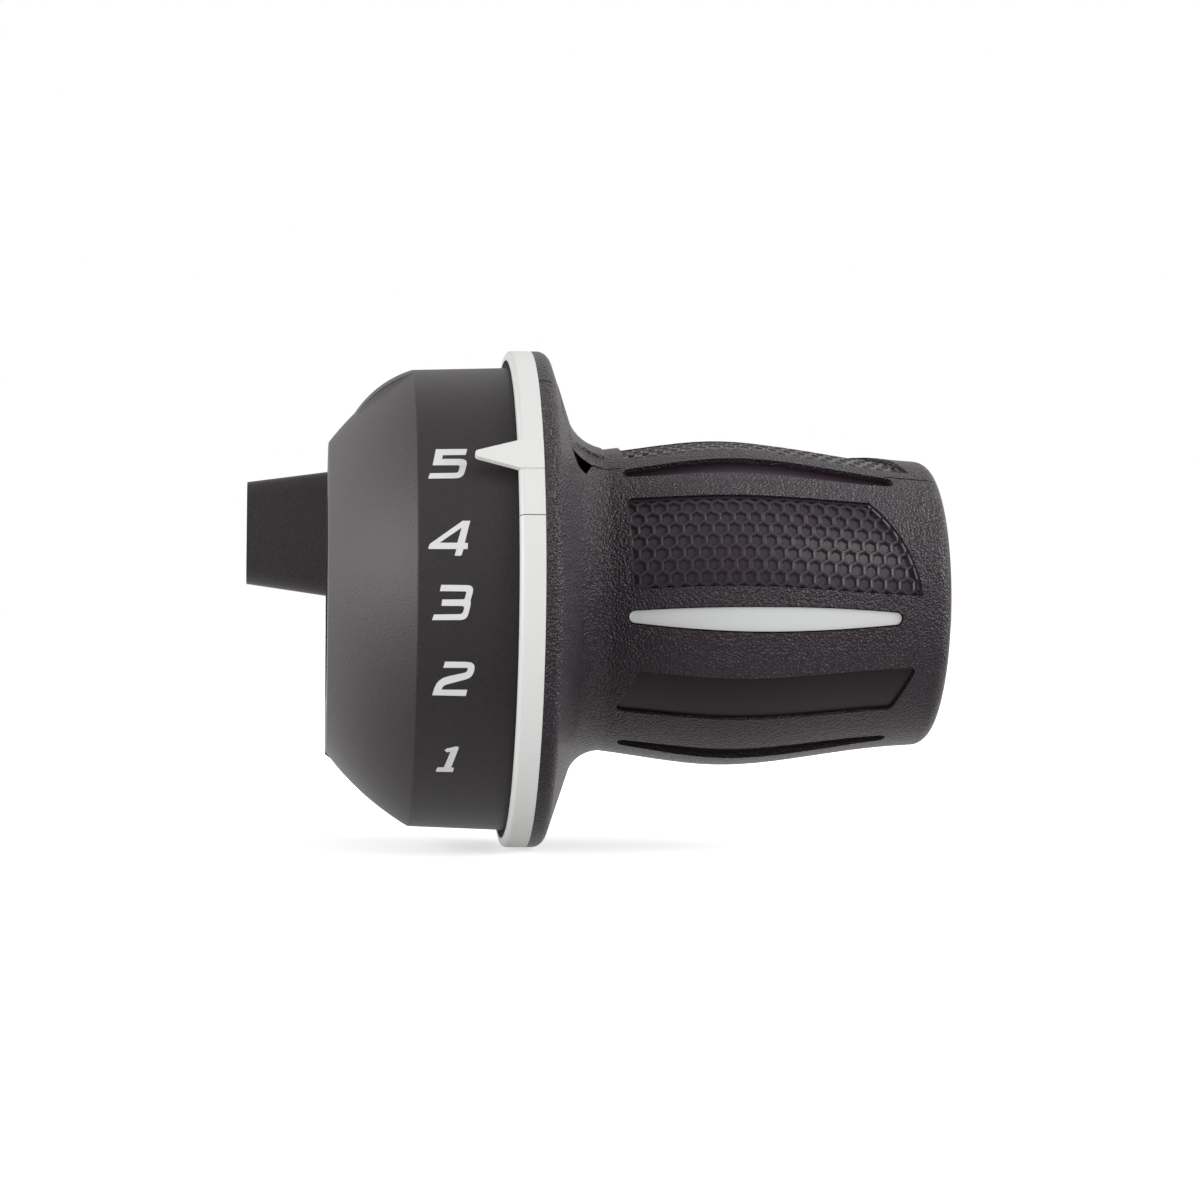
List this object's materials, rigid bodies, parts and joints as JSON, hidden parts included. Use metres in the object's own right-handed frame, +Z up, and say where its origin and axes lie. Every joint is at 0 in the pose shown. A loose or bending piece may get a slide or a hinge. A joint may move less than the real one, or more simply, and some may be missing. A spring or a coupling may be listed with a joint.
{
  "type": "twist grip shifter",
  "caption": "Bicycle twist-grip shifter: a clamped dial housing with a cable spout, and a ribbed rubber grip that turns a spool through indexed gears.",
  "frame": {"origin": "on the handlebar's axis, at the inner face of the clamped housing", "axes": "+X along the handlebar towards its end, +Z up, and the rider's side faces -Y"},
  "size_m": [0.075, 0.0542, 0.0542],
  "materials": {
    "housing_plastic": "fine moulded texture, satin black",
    "fastener_steel": "zinc plated",
    "spring_steel": "rolled, bright",
    "spool_plastic": "moulded acetal, natural",
    "tube_plastic": "moulded, black",
    "grip_rubber": "moulded elastomer, pebbled black",
    "white_plastic": "moulded, satin white",
    "strip_plastic": "moulded, satin pale grey",
    "label_film": "smooth black inlay, bare"
  },
  "bodies": {
    "housing_body": {"housing": "housing_plastic", "clamp_bolt": "fastener_steel", "clamp_nut": "fastener_steel", "retaining_clip": "spring_steel", "detent_spring": "spring_steel"},
    "grip_body": {"cable_spool": "spool_plastic", "grip_tube": "tube_plastic", "grip_sleeve": "grip_rubber", "indicator_ring": "white_plastic", "accent_strip": "strip_plastic", "label_plate": "label_film"}
  },
  "joints": [
    {"name": "grip_twist", "type": "hinge", "parent": "housing_body", "child": "grip_body", "pos_m": [0, 0, 0], "axis": [1, 0, 0], "range_deg": [0, 76], "deforming": ["detent_spring"]}
  ]
}
